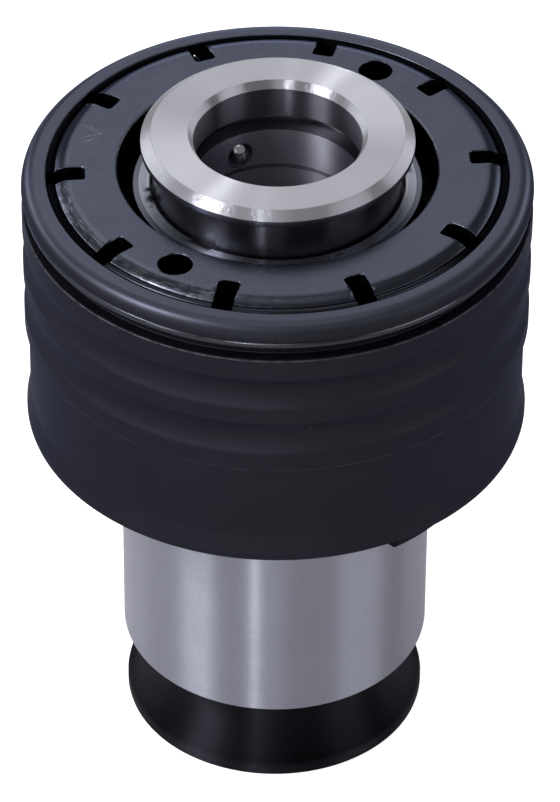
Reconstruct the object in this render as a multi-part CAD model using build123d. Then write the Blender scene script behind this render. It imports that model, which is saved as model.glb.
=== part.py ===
# Quick change tapping adapter: a ground shank with a locking groove, an overload clutch in
# the head, and a spindle that grips the tap with lock balls under a sprung release collar.
# Millimetres, +Z up. The origin is the centre of the end face that the adapter stands on.
from build123d import *
from math import atan2, cos, degrees, pi, radians, sin, sqrt, tan
import os

# Fits and clearances
slide_fit = 0.05          # radial, between parts that slide or turn on each other
seat_fit = 0.02           # radial, between parts that are pressed together
free_gap = 0.3            # radial, between rings and the walls that they pass
face_gap = 0.2            # axial, between faces that pass each other

# Shank and end flange
end_rim_radius = 15.2
end_rim_height = 1.5
end_rim_round = 0.35
locking_groove_radius = 12.8
locking_groove_height = 7.7
shank_radius = 15.5
shank_length = 28.1       # from the locking groove up to the underside of the head
shank_edge = 0.25
grinding_relief_length = 5.3
grinding_relief_depth = 0.3
end_hole_radius = 7.0
end_hole_chamfer = 0.8

# Drive dogs under the head
dog_inset = 3.85          # how far the dogs stay inside the head's radius
dog_width = 9.0
dog_length = 4.9
dog_azimuth = 137.0
dog_chamfer = 0.4

# Head, in bands from its underside up to its rim
head_radius = 24.85
housing_wall = 2.45
foot_band = 0.8
foot_flare = 2.1
plain_band = 8.45
plain_band_depth = 0.4
lower_land = 2.05
lower_cove = 3.8
middle_land = 1.7
upper_cove = 3.6
cove_depth = 0.55
upper_band = 2.33
wire_groove_height = 2.17
wire_groove_depth = 1.25
rim_band = 1.64
rim_round = 1.5
rim_chamfer = 0.18
foot_chamfer = 0.3
housing_lip = 2.0         # the lip that the drive flange rests on
drive_flange = 4.5

# Overload clutch
clutch_ball_radius = 2.5
clutch_ball_count = 6
clutch_pocket_count = 12
pocket_depth = 1.3
cage_web = 3.3            # thickness of the spindle's flange that carries the clutch balls
pocket_angle = 50.0       # between the axis and the wall of a ball pocket
pressure_ring_height = 2.2
roller_radius = 1.0
roller_length = 4.0
roller_count = 12
bearing_cage_height = 0.8
race_height = 1.46
disc_count = 4
disc_thickness = 1.1
disc_cone = 0.45          # how much higher one edge of a disc spring is than the other
seat_ring_height = 1.5

# Adjusting nut and its lock wire
nut_proud = 0.56          # how far the nut's face stands above the housing's rim
nut_slot_count = 10
nut_slot_width = 2.0
nut_slot_depth = 3.8
nut_slot_inner = 18.7
nut_slot_azimuth = 4.6
pin_hole_radius = 1.6
pin_hole_circle = 18.4
pin_hole_depth = 3.5
pin_hole_azimuth = 58.6
thread_root_width = 0.15
thread_crest_width = 0.6
nut_shoulder_width = 1.0
nut_shoulder_drop = 0.42
wire_radius = 0.5
wire_bend_radius = 1.2
wire_sweep = 334.0
wire_slot_index = 3       # which of the nut's slots the wire's tip locks

# Spindle
tap_bore_radius = 8.0
bore_relief = 0.17        # wider by this beside the lock balls, in the collar and at the square's corners
tube_wall = 2.0
hub_gap = 1.5             # open ring between the hub and the nut
hub_wall = 1.0
hub_below_nut = 2.0
tail_radius = 12.0
tail_length = 24.3        # below the top of the drive flange
square_across = 12.0      # across the flats of the tap's square
square_clearance = 0.1
square_depth = 16.0
square_drill_radius = 5.0
tail_floor = 2.9          # what is left of the spindle under the square

# Release collar and lock balls
nose_above_nut = 3.9
nose_lip = 3.9
nose_overhang = 1.2
nose_flange = 1.45
nose_outer_chamfer = 0.75
nose_outer_run = 0.96
nose_inner_chamfer = 0.83
nose_inner_run = 0.5
neck_wall = 2.0
skirt_step = 0.95
skirt_length = 3.7
collar_travel = 1.8
cone_slope = 0.4          # how far a lock ball moves out for each millimetre of the collar
lock_ball_radius = 1.5
lock_ball_count = 3
lock_ball_azimuth = 117.0
lock_ball_proud = 0.7     # how far a lock ball stands into the empty bore
lock_ball_below_tube = 2.5
retaining_ring_height = 1.0
retaining_ring_seat = 0.45  # how far the ring's seat is cut into the hub's wall
retaining_ring_gap = 0.15   # between the ring and the collar's neck
spring_wire = 1.2
spring_length = 9.8
spring_turns = 3.5

# Radii that follow, from the bore outwards and from the head inwards
relieved_radius = tap_bore_radius + bore_relief
tube_radius = tap_bore_radius + tube_wall
collar_bore = tube_radius + slide_fit
neck_radius = collar_bore + neck_wall
nose_radius = neck_radius + nose_overhang
skirt_radius = neck_radius + skirt_step
hub_bore = skirt_radius + slide_fit
hub_radius = hub_bore + hub_wall
nut_bore = hub_radius + hub_gap
housing_bore = head_radius - housing_wall
dog_radius = head_radius - dog_inset
nut_radius = housing_bore - slide_fit
ring_bore = hub_radius + free_gap
ring_radius = housing_bore - free_gap
ball_circle = (hub_radius + housing_bore) / 2
wire_azimuth = nut_slot_azimuth + 360 / nut_slot_count * wire_slot_index
lock_ball_circle = tap_bore_radius + lock_ball_radius - lock_ball_proud
wire_groove_radius = head_radius - wire_groove_depth
wire_circle = wire_groove_radius + wire_radius + 2 * slide_fit

# Heights that follow, from the end face up to the nose
shank_start = end_rim_height + locking_groove_height
head_foot = shank_start + shank_length
plain_start = head_foot + foot_band + foot_flare
lower_land_start = plain_start + plain_band
lower_cove_start = lower_land_start + lower_land
middle_land_start = lower_cove_start + lower_cove
upper_cove_start = middle_land_start + middle_land
upper_band_start = upper_cove_start + upper_cove
wire_groove_start = upper_band_start + upper_band
rim_start = wire_groove_start + wire_groove_height
rim_top = rim_start + rim_band
flange_foot = head_foot + housing_lip
flange_top = flange_foot + drive_flange
clutch_ball_height = flange_top + clutch_ball_radius - pocket_depth
cage_foot = flange_top + face_gap
pressure_ring_foot = clutch_ball_height + clutch_ball_radius
pressure_ring_top = pressure_ring_foot + pressure_ring_height
bearing_height = pressure_ring_top + seat_fit + roller_radius
race_foot = bearing_height + roller_radius + seat_fit
race_top = race_foot + race_height
disc_height = disc_thickness + disc_cone
seat_ring_foot = race_top + disc_count * disc_height
nut_foot = seat_ring_foot + seat_ring_height
nut_top = rim_top + nut_proud
wire_height = rim_start - wire_radius - slide_fit
hub_top = nut_top - hub_below_nut
nose_top = nut_top + nose_above_nut
lip_foot = nose_top - nose_lip
tube_top = lip_foot - collar_travel - slide_fit
lock_ball_height = tube_top - lock_ball_below_tube
skirt_top = hub_top - retaining_ring_height
skirt_foot = skirt_top - skirt_length
spring_floor = skirt_foot - spring_length
tail_foot = flange_top - tail_length
square_foot = tail_foot + tail_floor
square_top = square_foot + square_depth


def turned(*edges):
    """Turn a closed outline of radius and height about the Z axis."""
    outline = Wire([edge for piece in edges for edge in piece.edges()])
    return revolve(Plane.XZ * make_face(outline), Axis.Z)


def ring(inner, outer, foot, top):
    """A plain ring between two radii and two heights."""
    size = top - foot
    middle = (foot + top) / 2
    return Pos(0, 0, middle) * (Cylinder(outer, size) - Cylinder(inner, size))


def around(solid, count, radius, height, azimuth=0.0):
    """Copies of one solid, evenly spaced on a circle."""
    return [Pos(0, 0, height) * place * solid for place in PolarLocations(radius, count, azimuth)]


def shank():
    """End flange, locking groove, ground shank, drive dogs and the flange with ball pockets."""
    relief_radius = shank_radius - grinding_relief_depth
    relief_start = head_foot - grinding_relief_length
    rim_edge = end_rim_radius - end_rim_round
    rim_shoulder = end_rim_height - end_rim_round
    cove_radius = rim_edge - locking_groove_radius
    flange_radius = housing_bore - seat_fit
    tail_bore = tail_radius + slide_fit
    bore_floor = tail_foot - face_gap
    body = turned(
        Line((end_hole_radius + end_hole_chamfer, 0), (rim_edge, 0)),
        TangentArc((rim_edge, 0), (end_rim_radius, end_rim_round), tangent=(1, 0)),
        Line((end_rim_radius, end_rim_round), (end_rim_radius, rim_shoulder)),
        TangentArc((end_rim_radius, rim_shoulder), (rim_edge, end_rim_height), tangent=(0, 1)),
        TangentArc(
            (rim_edge, end_rim_height),
            (locking_groove_radius, end_rim_height + cove_radius),
            tangent=(-1, 0),
        ),
        Polyline(
            (locking_groove_radius, end_rim_height + cove_radius),
            (locking_groove_radius, shank_start),
            (shank_radius - shank_edge, shank_start),
            (shank_radius, shank_start + shank_edge),
            (shank_radius, relief_start),
            (relief_radius, relief_start + grinding_relief_depth),
            (relief_radius, head_foot),
            (dog_radius, head_foot),
            (dog_radius, flange_foot),
            (flange_radius, flange_foot),
            (flange_radius, flange_top),
            (tail_bore, flange_top),
            (tail_bore, bore_floor),
            (end_hole_radius, bore_floor),
            (end_hole_radius, end_hole_chamfer),
            (end_hole_radius + end_hole_chamfer, 0),
        ),
    )
    dog_foot = head_foot - dog_length
    dog_ring = turned(
        Polyline(
            (tail_bore, dog_foot),
            (dog_radius - dog_chamfer, dog_foot),
            (dog_radius, dog_foot + dog_chamfer),
            (dog_radius, head_foot),
            (tail_bore, head_foot),
            (tail_bore, dog_foot),
        )
    )
    bar = Pos(0, 0, head_foot) * Box(2 * head_radius, dog_width, 2 * dog_length)
    body += dog_ring & (Rot(0, 0, dog_azimuth) * bar)
    return body - around(ball_pocket(), clutch_pocket_count, ball_circle, clutch_ball_height)


def ball_pocket():
    """The cone that a clutch ball rests in, drawn round the ball's centre."""
    apex_depth = (clutch_ball_radius + slide_fit) / sin(radians(pocket_angle))
    mouth = apex_depth * tan(radians(pocket_angle))
    return Pos(0, 0, -apex_depth / 2) * Cone(0, mouth, apex_depth)


def clutch_housing():
    """The black shell of the head: finger coves, plain band, wire groove and rolled rim."""
    band_radius = head_radius - plain_band_depth
    lip_radius = dog_radius + face_gap
    cove_root = head_radius - cove_depth
    body = turned(
        Polyline(
            (lip_radius, head_foot),
            (head_radius - foot_chamfer, head_foot),
            (head_radius, head_foot + foot_chamfer),
            (head_radius, head_foot + foot_band),
        ),
        TangentArc((band_radius, plain_start), (head_radius, head_foot + foot_band), tangent=(0, -1)),
        Polyline(
            (band_radius, plain_start),
            (band_radius, lower_land_start),
            (head_radius, lower_land_start),
            (head_radius, lower_cove_start),
        ),
        ThreePointArc(
            (head_radius, lower_cove_start),
            (cove_root, lower_cove_start + lower_cove / 2),
            (head_radius, middle_land_start),
        ),
        Line((head_radius, middle_land_start), (head_radius, upper_cove_start)),
        ThreePointArc(
            (head_radius, upper_cove_start),
            (cove_root, upper_cove_start + upper_cove / 2),
            (head_radius, upper_band_start),
        ),
        Polyline(
            (head_radius, upper_band_start),
            (head_radius, wire_groove_start),
            (wire_groove_radius, wire_groove_start),
            (wire_groove_radius, rim_start),
            (head_radius, rim_start),
            (head_radius, rim_top - rim_round),
        ),
        TangentArc((head_radius, rim_top - rim_round), (head_radius - rim_round, rim_top), tangent=(0, 1)),
        Polyline(
            (head_radius - rim_round, rim_top),
            (housing_bore + rim_chamfer, rim_top),
            (housing_bore, rim_top - rim_chamfer),
            (housing_bore, flange_foot),
            (lip_radius, flange_foot),
            (lip_radius, head_foot),
        ),
    )
    drill = Rot(0, 90, 0) * Cylinder(wire_radius + free_gap, 2 * housing_wall)
    return body - Rot(0, 0, wire_azimuth) * Pos(head_radius, 0, wire_height) * drill


def lock_wire():
    """A sprung ring of wire whose bent tip reaches through the housing into a slot of the nut."""
    bend_start = sqrt((wire_circle - wire_bend_radius) ** 2 - wire_bend_radius**2)
    bend_angle = degrees(atan2(wire_bend_radius, bend_start))
    tip = nut_slot_inner + nut_slot_width
    ring_start = (wire_circle * cos(radians(bend_angle)), wire_circle * sin(radians(bend_angle)))
    route = Wire(
        [
            Line((tip, 0), (bend_start, 0)),
            TangentArc((bend_start, 0), ring_start, tangent=(1, 0)),
            CenterArc((0, 0), wire_circle, bend_angle, wire_sweep),
        ]
    )
    section = Plane((tip, 0, 0), z_dir=(1, 0, 0)) * Circle(wire_radius)
    return Pos(0, 0, wire_height) * Rot(0, 0, wire_azimuth) * sweep(section, path=route)


def adjusting_nut():
    """The slotted nut that loads the disc springs, with holes for a pin spanner."""
    crest_outer = nut_radius
    crest_inner = crest_outer - thread_crest_width
    shoulder_outer = crest_inner - thread_root_width
    shoulder_inner = shoulder_outer - nut_shoulder_width
    shoulder_foot = nut_top - nut_shoulder_drop
    root_foot = shoulder_foot - 2 * thread_root_width
    body = turned(
        TangentArc((shoulder_inner, nut_top), (shoulder_outer, shoulder_foot), tangent=(1, 0)),
        Polyline(
            (shoulder_outer, shoulder_foot),
            (shoulder_outer, root_foot),
            (crest_inner, root_foot),
            (crest_inner, shoulder_foot),
        ),
        TangentArc((crest_inner, shoulder_foot), (crest_outer, root_foot), tangent=(1, 0)),
        Polyline(
            (crest_outer, root_foot),
            (crest_outer, nut_foot + rim_chamfer),
            (crest_outer - rim_chamfer, nut_foot),
            (nut_bore, nut_foot),
            (nut_bore, nut_top - rim_chamfer),
            (nut_bore + rim_chamfer, nut_top),
            (shoulder_inner, nut_top),
        ),
    )
    slot_length = head_radius - nut_slot_inner
    slot = Pos(slot_length / 2, 0, 0) * Box(slot_length, nut_slot_width, 2 * nut_slot_depth)
    body -= around(slot, nut_slot_count, nut_slot_inner, nut_top, nut_slot_azimuth)
    pin_hole = Cylinder(pin_hole_radius, 2 * pin_hole_depth)
    return body - around(pin_hole, 2, pin_hole_circle, nut_top, pin_hole_azimuth)


def disc_spring(index):
    """One cone of the stack; every second one is turned over."""
    foot = race_top + index * disc_height
    inner_up = index % 2 == 0
    inner_foot = foot + disc_cone if inner_up else foot
    outer_foot = foot if inner_up else foot + disc_cone
    return turned(
        Polyline(
            (ring_bore, inner_foot),
            (ring_radius, outer_foot),
            (ring_radius, outer_foot + disc_thickness),
            (ring_bore, inner_foot + disc_thickness),
            (ring_bore, inner_foot),
        )
    )


def pressure_ring():
    """Presses on the clutch balls; the rollers of the thrust bearing run on its upper face."""
    return ring(ring_bore, ring_radius, pressure_ring_foot, pressure_ring_top)


def thrust_race():
    """Upper race of the thrust bearing, which the disc springs press on."""
    return ring(ring_bore, ring_radius, race_foot, race_top)


def bearing_rollers():
    """The rollers of the thrust bearing, lying along radii."""
    roller = Rot(0, 90, 0) * Cylinder(roller_radius, roller_length)
    return Compound(around(roller, roller_count, ball_circle, bearing_height))


def bearing_cage():
    """Keeps the rollers apart."""
    half_width = roller_length / 2 + roller_radius / 2
    half_height = bearing_cage_height / 2
    foot = bearing_height - half_height
    plate = ring(ball_circle - half_width, ball_circle + half_width, foot, foot + bearing_cage_height)
    pocket = Box(roller_length + 2 * slide_fit, 2 * (roller_radius + slide_fit), 2 * bearing_cage_height)
    return plate - around(pocket, roller_count, ball_circle, bearing_height)


def clutch_balls():
    """The balls that drive the spindle until the set torque lifts them out of their pockets."""
    return Compound(around(Sphere(clutch_ball_radius), clutch_ball_count, ball_circle, clutch_ball_height))


def spindle():
    """Tube for the tap, hub for the collar's spring, ball cage flange and tail with the square."""
    cage_radius = ring_radius
    cage_top = cage_foot + cage_web
    ring_seat = hub_bore + retaining_ring_seat
    land_top = lock_ball_height - lock_ball_radius - slide_fit - face_gap
    body = turned(
        Polyline(
            (square_drill_radius, tail_foot),
            (tail_radius - foot_chamfer, tail_foot),
            (tail_radius, tail_foot + foot_chamfer),
            (tail_radius, cage_foot),
            (cage_radius, cage_foot),
            (cage_radius, cage_top),
            (hub_radius, cage_top),
            (hub_radius, hub_top),
            (ring_seat, hub_top),
            (ring_seat, skirt_top),
            (hub_bore, skirt_top),
            (hub_bore, spring_floor),
            (tube_radius, spring_floor),
            (tube_radius, tube_top - foot_chamfer),
            (tube_radius - foot_chamfer, tube_top),
            (relieved_radius, tube_top),
            (relieved_radius, land_top),
            (tap_bore_radius, land_top),
            (tap_bore_radius, square_top),
            (relieved_radius, square_top),
            (relieved_radius, square_foot),
            (square_drill_radius, square_foot),
            (square_drill_radius, tail_foot),
        )
    )
    cage_hole = Cylinder(clutch_ball_radius + slide_fit, 2 * (face_gap + cage_web))
    body -= around(cage_hole, clutch_ball_count, ball_circle, cage_foot)
    return body + square_socket() - lock_ball_seats()


def square_socket():
    """What the broach leaves standing in the bore around the tap's square."""
    across = square_across + square_clearance
    blank = Cylinder(relieved_radius + seat_fit, square_depth)
    return Pos(0, 0, (square_foot + square_top) / 2) * (blank - Box(across, across, square_depth))


def lock_ball_places():
    """Where the lock balls sit, seen from the tap's axis."""
    return [Rot(0, 0, lock_ball_azimuth + 360 / lock_ball_count * i) for i in range(lock_ball_count)]


def lock_ball_seats():
    """Holes through the tube whose rounded inner ends keep the balls from falling in."""
    seat_radius = lock_ball_radius + slide_fit
    centre = Pos(lock_ball_circle, 0, lock_ball_height)
    drill = Pos(tube_wall, 0, 0) * Rot(0, 90, 0) * Cylinder(seat_radius, 2 * tube_wall)
    seat = centre * (Sphere(seat_radius) + drill)
    return [place * seat for place in lock_ball_places()]


def lock_ball(index):
    """One of the balls that wedge the tap's shank."""
    return lock_ball_places()[index] * Pos(lock_ball_circle, 0, lock_ball_height) * Sphere(lock_ball_radius)


def release_collar():
    """Nose flange, neck and skirt in one; its inner cone presses the lock balls inwards."""
    slant = sqrt(1 + cone_slope**2)
    cone_at_ball = lock_ball_circle + (lock_ball_radius + slide_fit) * slant
    cone_foot = lock_ball_height - (cone_at_ball - collar_bore) / cone_slope
    relief = lock_ball_circle + cone_slope * collar_travel + lock_ball_radius + 2 * slide_fit
    cone_top = cone_foot + (relief - collar_bore) / cone_slope
    shoulder = lip_foot - (relief - tube_radius)
    nose_foot = nose_top - nose_flange
    return turned(
        Polyline(
            (collar_bore, skirt_foot),
            (skirt_radius, skirt_foot),
            (skirt_radius, skirt_top),
            (neck_radius, skirt_top),
            (neck_radius, nose_foot),
            (nose_radius, nose_foot),
            (nose_radius, nose_top - nose_outer_chamfer),
            (nose_radius - nose_outer_run, nose_top),
            (relieved_radius + nose_inner_run, nose_top),
            (relieved_radius, nose_top - nose_inner_chamfer),
            (relieved_radius, lip_foot),
            (tube_radius, lip_foot),
            (relief, shoulder),
            (relief, cone_top),
            (collar_bore, cone_foot),
            (collar_bore, skirt_foot),
        )
    )


def retaining_ring():
    """Pressed into the hub's mouth, it holds the collar down on its spring."""
    bore = neck_radius + retaining_ring_gap
    outer = hub_bore + retaining_ring_seat - seat_fit
    return turned(
        Polyline(
            (bore, skirt_top),
            (outer, skirt_top),
            (outer, hub_top),
            (bore + rim_chamfer, hub_top),
            (bore, hub_top - rim_chamfer),
            (bore, skirt_top),
        )
    )


def collar_spring():
    """The compression spring under the collar, coiled from square wire, its ends ground flat."""
    coil_radius = (tube_radius + hub_bore) / 2
    pitch = spring_length / spring_turns
    arc_count = round(4 * spring_turns)

    def on_coil(step):
        angle = 2 * pi * spring_turns * step / arc_count
        return (coil_radius * cos(angle), coil_radius * sin(angle), pitch * angle / (2 * pi))

    route = Wire([ThreePointArc(on_coil(i), on_coil(i + 0.5), on_coil(i + 1)) for i in range(arc_count)])
    section = Plane(route @ 0, x_dir=(1, 0, 0), z_dir=route % 0) * Rectangle(spring_wire, spring_wire)
    coil = sweep(section, path=route)
    block = Box(4 * hub_radius, 4 * hub_radius, spring_length)
    below = Pos(0, 0, -spring_length / 2) * block
    above = Pos(0, 0, 3 * spring_length / 2) * block
    return Pos(0, 0, spring_floor) * (coil - below - above)


def spring_seat_ring():
    """The flat ring between the disc springs and the adjusting nut."""
    return ring(ring_bore, ring_radius, seat_ring_foot, nut_foot)


def save(node, solid):
    """Write one node as a STEP file."""
    export_step(solid, f"parts/{node}.step")


os.makedirs("parts", exist_ok=True)
save("shank", shank())
save("clutch_housing", clutch_housing())
save("lock_wire", lock_wire())
save("adjusting_nut", adjusting_nut())
save("spring_seat_ring", spring_seat_ring())
save("thrust_race", thrust_race())
save("bearing_rollers", bearing_rollers())
save("bearing_cage", bearing_cage())
save("pressure_ring", pressure_ring())
save("clutch_balls", clutch_balls())
save("spindle", spindle())
save("release_collar", release_collar())
save("retaining_ring", retaining_ring())
save("collar_spring", collar_spring())
for disc in range(disc_count):
    save(f"disc_spring_{disc + 1}", disc_spring(disc))
for ball in range(lock_ball_count):
    save(f"lock_ball_{ball + 1}", lock_ball(ball))
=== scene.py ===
import math

import bmesh
import bpy
from mathutils import Matrix, Vector


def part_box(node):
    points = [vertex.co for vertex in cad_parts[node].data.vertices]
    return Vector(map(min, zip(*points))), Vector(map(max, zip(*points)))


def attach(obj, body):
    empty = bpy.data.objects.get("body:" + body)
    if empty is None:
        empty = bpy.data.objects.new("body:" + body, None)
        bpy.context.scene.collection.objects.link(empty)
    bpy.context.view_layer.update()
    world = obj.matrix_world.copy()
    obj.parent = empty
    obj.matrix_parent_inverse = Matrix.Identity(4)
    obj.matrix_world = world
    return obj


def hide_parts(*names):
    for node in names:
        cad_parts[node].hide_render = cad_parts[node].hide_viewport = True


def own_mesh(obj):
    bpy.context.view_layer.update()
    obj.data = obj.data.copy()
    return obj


MM = 0.001
TURN = 2 * math.pi

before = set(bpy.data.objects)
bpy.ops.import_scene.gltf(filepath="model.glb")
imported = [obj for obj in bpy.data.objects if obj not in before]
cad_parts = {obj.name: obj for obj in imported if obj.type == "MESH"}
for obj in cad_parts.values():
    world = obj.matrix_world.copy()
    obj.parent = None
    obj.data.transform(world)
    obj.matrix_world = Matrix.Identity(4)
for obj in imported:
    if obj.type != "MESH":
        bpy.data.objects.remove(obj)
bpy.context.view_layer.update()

# How finely the pieces are drawn
lathe_steps = 288
corner_steps = 3
smooth_angle = math.radians(32)
level_face = 0.9999       # upright share of a face's normal, past which it is shaded flat
support_from = 0.8        # millimetres; shorter edges of an outline get no supports
support_gap = 0.06
weld = 2e-7               # metres; points nearer than this are one
large_face_weight = 60


def reach(node):
    """Lowest height, highest height and largest radius of a CAD node, in millimetres."""
    low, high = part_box(node)
    return low.z / MM, high.z / MM, max(high.x, high.y, -low.x, -low.y) / MM


# Node trees

def feed(tree, socket, value):
    """Give a socket its value, or link it to another node's output."""
    if isinstance(value, bpy.types.NodeSocket):
        tree.links.new(value, socket)
    elif value is not None:
        socket.default_value = value


def put(tree, kind, *values, sockets=None, **settings):
    """Add a node, set its properties, and feed its inputs in their own order or by name."""
    node = tree.nodes.new(kind)
    for name, value in settings.items():
        setattr(node, name, value)
    for socket, value in zip(node.inputs, values):
        feed(tree, socket, value)
    for name, value in (sockets or {}).items():
        feed(tree, node.inputs[name], value)
    return node


def calc(tree, operation, *values):
    """The result of a Math node."""
    return put(tree, "ShaderNodeMath", *values, operation=operation).outputs[0]


def join_xyz(tree, x, y, z):
    """A vector from its three parts."""
    return put(tree, "ShaderNodeCombineXYZ", x, y, z).outputs[0]


def scaled(tree, vector, factor):
    """A vector or colour times a number."""
    node = put(tree, "ShaderNodeVectorMath", vector, operation="SCALE", sockets={"Scale": factor})
    return node.outputs[0]


def mix(tree, kind, mask, under, over):
    """One colour or number laid on another of its kind where the mask is 1."""
    node = put(tree, "ShaderNodeMix", data_type=kind)
    first, output = (6, 2) if kind == "RGBA" else (2, 0)
    for index, value in ((0, mask), (first, under), (first + 1, over)):
        feed(tree, node.inputs[index], value)
    return node.outputs[output]


def ramp(tree, value, low, high):
    """0 at low and 1 at high, eased between them."""
    node = put(tree, "ShaderNodeMapRange", value, low, high, interpolation_type="SMOOTHSTEP")
    return node.outputs[0]


def noise(tree, vector, scale, detail, roughness, distortion=0.0):
    """The value of a noise texture."""
    sockets = {
        "Vector": vector,
        "Scale": scale,
        "Detail": detail,
        "Roughness": roughness,
        "Distortion": distortion,
    }
    return put(tree, "ShaderNodeTexNoise", sockets=sockets, noise_dimensions="3D").outputs[0]


def put_group(tree, group, *values):
    """Place a shader group; its outputs are found by name."""
    return put(tree, "ShaderNodeGroup", *values, node_tree=group).outputs


def new_group(name, kind, takes, gives):
    """A node group: what it takes is a socket type or a default number, what it gives is named."""
    tree = bpy.data.node_groups.new(name, kind)
    for label, value in takes.items():
        typed = isinstance(value, str)
        socket_type = "NodeSocket" + (value if typed else type(value).__name__.title())
        socket = tree.interface.new_socket(label, in_out="INPUT", socket_type=socket_type)
        if not typed:
            socket.default_value = value
    given_type = "NodeSocketGeometry" if kind == "GeometryNodeTree" else "NodeSocketFloat"
    for label in gives:
        tree.interface.new_socket(label, in_out="OUTPUT", socket_type=given_type)
    return tree, tree.nodes.new("NodeGroupInput").outputs, tree.nodes.new("NodeGroupOutput").inputs


# Shapes made by rule

def turning_tree():
    """Rounds an outline's corners, sweeps it round the Z axis and gives it a finish."""
    takes = {
        "Outline": "Geometry",
        "Steps": lathe_steps,
        "Corner Steps": corner_steps,
        "Guide Radius": 10 * MM,
        "Finish": "Material",
    }
    tree, given, result = new_group("turn_on_lathe", "GeometryNodeTree", takes, ["Piece"])
    outline = put(tree, "GeometryNodeMeshToCurve", given["Outline"]).outputs[0]
    rounding = put(tree, "GeometryNodeInputNamedAttribute", "rounding", data_type="FLOAT").outputs[0]
    corners = {
        "Curve": outline,
        "Radius": rounding,
        "Count": given["Corner Steps"],
        "Limit Radius": True,
    }
    rounded = put(tree, "GeometryNodeFilletCurve", sockets=corners, mode="POLY").outputs[0]
    shift = join_xyz(tree, calc(tree, "MULTIPLY", given["Guide Radius"], -1.0), 0.0, 0.0)
    place = {"Translation": shift, "Rotation": (math.pi / 2, 0.0, 0.0)}
    moved = put(tree, "GeometryNodeTransform", rounded, sockets=place).outputs[0]
    ring = {"Resolution": given["Steps"], "Radius": given["Guide Radius"]}
    guide = put(tree, "GeometryNodeCurvePrimitiveCircle", sockets=ring, mode="RADIUS").outputs[0]
    sweep = {"Curve": upright(tree, guide), "Profile Curve": moved}
    swept = put(tree, "GeometryNodeCurveToMesh", sockets=sweep).outputs[0]
    merged = put(tree, "GeometryNodeMergeByDistance", swept, sockets={"Distance": weld}).outputs[0]
    finish_tree(tree, merged, given, result)
    return tree


def upright(tree, curve):
    """The curve with normals that stay square to the Z axis."""
    node = put(tree, "GeometryNodeSetCurveNormal", curve)
    if hasattr(node, "mode"):
        node.mode = "Z_UP"
    else:
        node.inputs["Mode"].default_value = "Z Up"
    return node.outputs[0]


def finish_tree(tree, geometry, given, result):
    """End a tree with real geometry that carries its finish."""
    real = put(tree, "GeometryNodeRealizeInstances", geometry).outputs[0]
    finished = put(tree, "GeometryNodeSetMaterial", real, sockets={"Material": given["Finish"]})
    feed(tree, result[0], finished.outputs[0])


def copies_around(tree, given, shape):
    """Instances of one shape, evenly spaced about the Z axis."""
    count = given["Count"]
    row = {"Count": count, "Offset": (0.0, 0.0, 0.0)}
    line = put(tree, "GeometryNodeMeshLine", sockets=row, mode="OFFSET").outputs[0]
    index = put(tree, "GeometryNodeInputIndex").outputs[0]
    angle = calc(tree, "MULTIPLY_ADD", index, calc(tree, "DIVIDE", TURN, count), given["First Angle"])
    placing = {"Instance": shape, "Rotation": join_xyz(tree, 0.0, 0.0, angle)}
    placed = put(tree, "GeometryNodeInstanceOnPoints", line, sockets=placing).outputs[0]
    return put(tree, "GeometryNodeRealizeInstances", placed).outputs[0]


def cutting_tree():
    """Cuts evenly spaced copies of one cutter out of a piece."""
    takes = {"Piece": "Geometry", "Cutter": "Object", "Count": 1, "First Angle": 0.0, "Finish": "Material"}
    tree, given, result = new_group("cut_around_axis", "GeometryNodeTree", takes, ["Piece"])
    cutter = put(tree, "GeometryNodeObjectInfo", sockets={"Object": given["Cutter"]})
    cutters = copies_around(tree, given, cutter.outputs["Geometry"])
    pair = {"Mesh 1": given["Piece"], "Mesh 2": cutters}
    cut = put(tree, "GeometryNodeMeshBoolean", sockets=pair, operation="DIFFERENCE", solver="EXACT")
    finish_tree(tree, cut.outputs[0], given, result)
    return tree


def repeating_tree():
    """Sets evenly spaced copies of one shape round the Z axis."""
    takes = {"Shape": "Geometry", "Count": 1, "First Angle": 0.0, "Finish": "Material"}
    tree, given, result = new_group("set_around_axis", "GeometryNodeTree", takes, ["Piece"])
    finish_tree(tree, copies_around(tree, given, given["Shape"]), given, result)
    return tree


def wire_tree():
    """Sweeps a round wire along a bent path."""
    takes = {"Path": "Geometry", "Wire Radius": 0.5 * MM, "Sides": 20, "Finish": "Material"}
    tree, given, result = new_group("bend_wire", "GeometryNodeTree", takes, ["Piece"])
    path = put(tree, "GeometryNodeMeshToCurve", given["Path"]).outputs[0]
    ring = {"Resolution": given["Sides"], "Radius": given["Wire Radius"]}
    section = put(tree, "GeometryNodeCurvePrimitiveCircle", sockets=ring, mode="RADIUS").outputs[0]
    sweep = {"Curve": upright(tree, path), "Profile Curve": section, "Fill Caps": True}
    swept = put(tree, "GeometryNodeCurveToMesh", sockets=sweep).outputs[0]
    finish_tree(tree, swept, given, result)
    return tree


def apply_tree(obj, tree, **values):
    """Add a tree to an object, with its inputs set by their names."""
    modifier = obj.modifiers.new(tree.name, "NODES")
    modifier.node_group = tree
    for item in tree.interface.items_tree:
        name = item.name.lower().replace(" ", "_")
        if item.in_out == "INPUT" and name in values:
            modifier[item.identifier] = values[name]


def as_object(name, mesh):
    """Link a mesh to the scene as an object at the origin."""
    obj = bpy.data.objects.new(name, mesh)
    bpy.context.scene.collection.objects.link(obj)
    return obj


def as_made(obj):
    """Swap an object's mesh for what its modifiers make of it."""
    bpy.context.view_layer.update()
    graph = bpy.context.evaluated_depsgraph_get()
    seen = obj.evaluated_get(graph)
    made = bpy.data.meshes.new_from_object(seen, preserve_all_data_layers=True, depsgraph=graph)
    obj.modifiers.clear()
    obj.data = made
    made.name = obj.name
    return obj


def shaped(obj, tree, **values):
    """Run one tree on an object, keep what it makes and smooth it."""
    apply_tree(obj, tree, **values)
    return smoothed(as_made(obj))


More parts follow.
